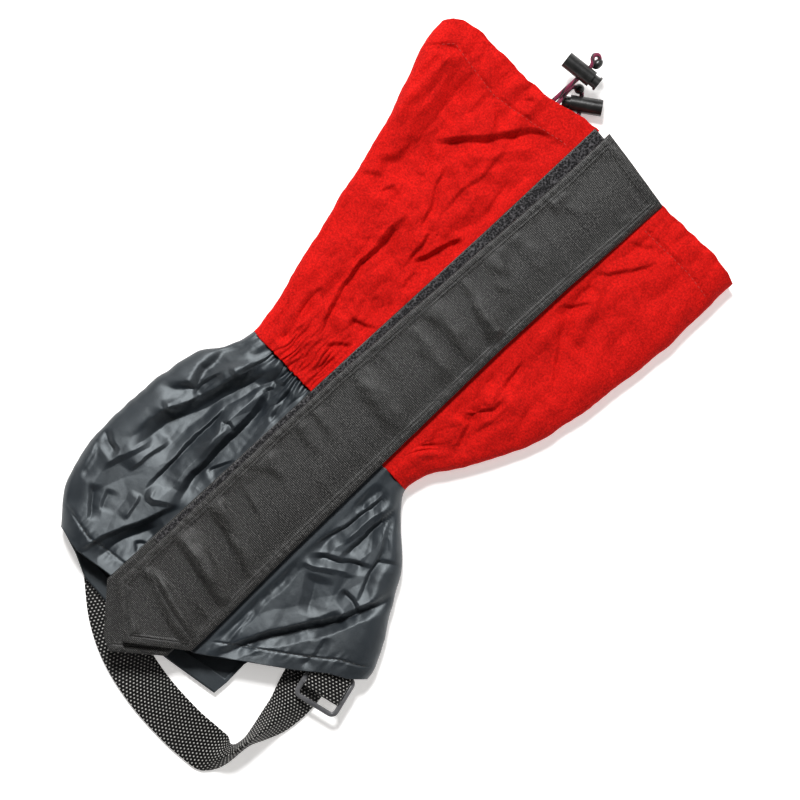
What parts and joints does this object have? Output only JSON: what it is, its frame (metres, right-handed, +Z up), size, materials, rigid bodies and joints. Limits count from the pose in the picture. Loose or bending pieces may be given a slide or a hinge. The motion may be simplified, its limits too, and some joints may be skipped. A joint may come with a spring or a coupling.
{
  "type": "leg gaiter",
  "caption": "Leg gaiter with a red upper, dark foot section, black front flap, corded top hem with locks, and an underfoot strap with a slider buckle.",
  "frame": {"origin": "middle of the gaiter's footprint, on the surface it lies on", "axes": "+Y up the leg, +X to the right of the front closure as seen from above, +Z up from the surface"},
  "size_m": [0.2356, 0.4367, 0.0212],
  "materials": {
    "red_cloth": "matte",
    "dark_nylon": "satin",
    "elastic": "matte",
    "ribbed_cloth": "satin",
    "closure_tape": "matte",
    "steel": "satin",
    "cord": "matte",
    "webbing": "matte",
    "buckle_plastic": "matte",
    "lock_plastic": "gloss"
  },
  "bodies": {
    "gaiter": {"upper_front_left": "red_cloth", "upper_front_right": "red_cloth", "upper_back": "red_cloth", "foot_front_left": "dark_nylon", "foot_front_right": "dark_nylon", "foot_back": "dark_nylon", "top_hem_left": "red_cloth", "top_hem_right": "red_cloth", "top_hem_back": "red_cloth", "ankle_elastic_left": "elastic", "ankle_elastic_right": "elastic", "ankle_elastic_back": "elastic", "foot_hem_left": "dark_nylon", "foot_hem_right": "dark_nylon", "foot_hem_back": "dark_nylon", "front_placket": "ribbed_cloth", "loop_tape": "closure_tape", "flap_sewn_edge": "ribbed_cloth", "lace_hook": "steel", "lace_hook_rivets": "steel", "drawcord": "cord", "cord_upper": "cord", "cord_lower": "cord", "cord_end_loop": "cord", "cord_stopper": "lock_plastic", "cord_bead": "lock_plastic", "foot_strap": "webbing", "buckle_tab": "webbing", "bartacks": "webbing"},
    "flap": {"front_flap": "ribbed_cloth", "hook_tape": "closure_tape"},
    "upper_lock": {"upper_lock_barrel": "lock_plastic", "upper_lock_spring": "steel"},
    "upper_button": {"upper_lock_plunger": "lock_plastic"},
    "lower_lock": {"lower_lock_barrel": "lock_plastic", "lower_lock_spring": "steel"},
    "lower_button": {"lower_lock_plunger": "lock_plastic"},
    "buckle": {"buckle_frame": "buckle_plastic"}
  },
  "joints": [
    {"name": "flap_hinge", "type": "hinge", "parent": "gaiter", "child": "flap", "pos_m": [0.03069, 0.0207, 0.0202], "axis": [0, 1, 0], "range_deg": [0, 170]},
    {"name": "upper_lock_slide", "type": "slide", "parent": "gaiter", "child": "upper_lock", "axis": [-0.0387, -0.984, -0.174], "range_m": [0, 0.008]},
    {"name": "upper_button_press", "type": "slide", "parent": "upper_lock", "child": "upper_button", "axis": [-0.991, -0.134, 0], "range_m": [0, 0.003], "stiffness_N_per_m": 600, "springref_m": -0.002, "deforming": ["upper_lock_spring"]},
    {"name": "lower_lock_slide", "type": "slide", "parent": "gaiter", "child": "lower_lock", "axis": [0.5907, -0.8069, 0], "range_m": [0, 0.002]},
    {"name": "lower_button_press", "type": "slide", "parent": "lower_lock", "child": "lower_button", "axis": [0.8028, 0.5962, 0], "range_m": [0, 0.003], "stiffness_N_per_m": 600, "springref_m": -0.002, "deforming": ["lower_lock_spring"]},
    {"name": "buckle_tilt", "type": "hinge", "parent": "gaiter", "child": "buckle", "pos_m": [0.10275, -0.12163, 0.009], "axis": [-0.9673, -0.2538, 0], "range_deg": [0, 15]}
  ]
}
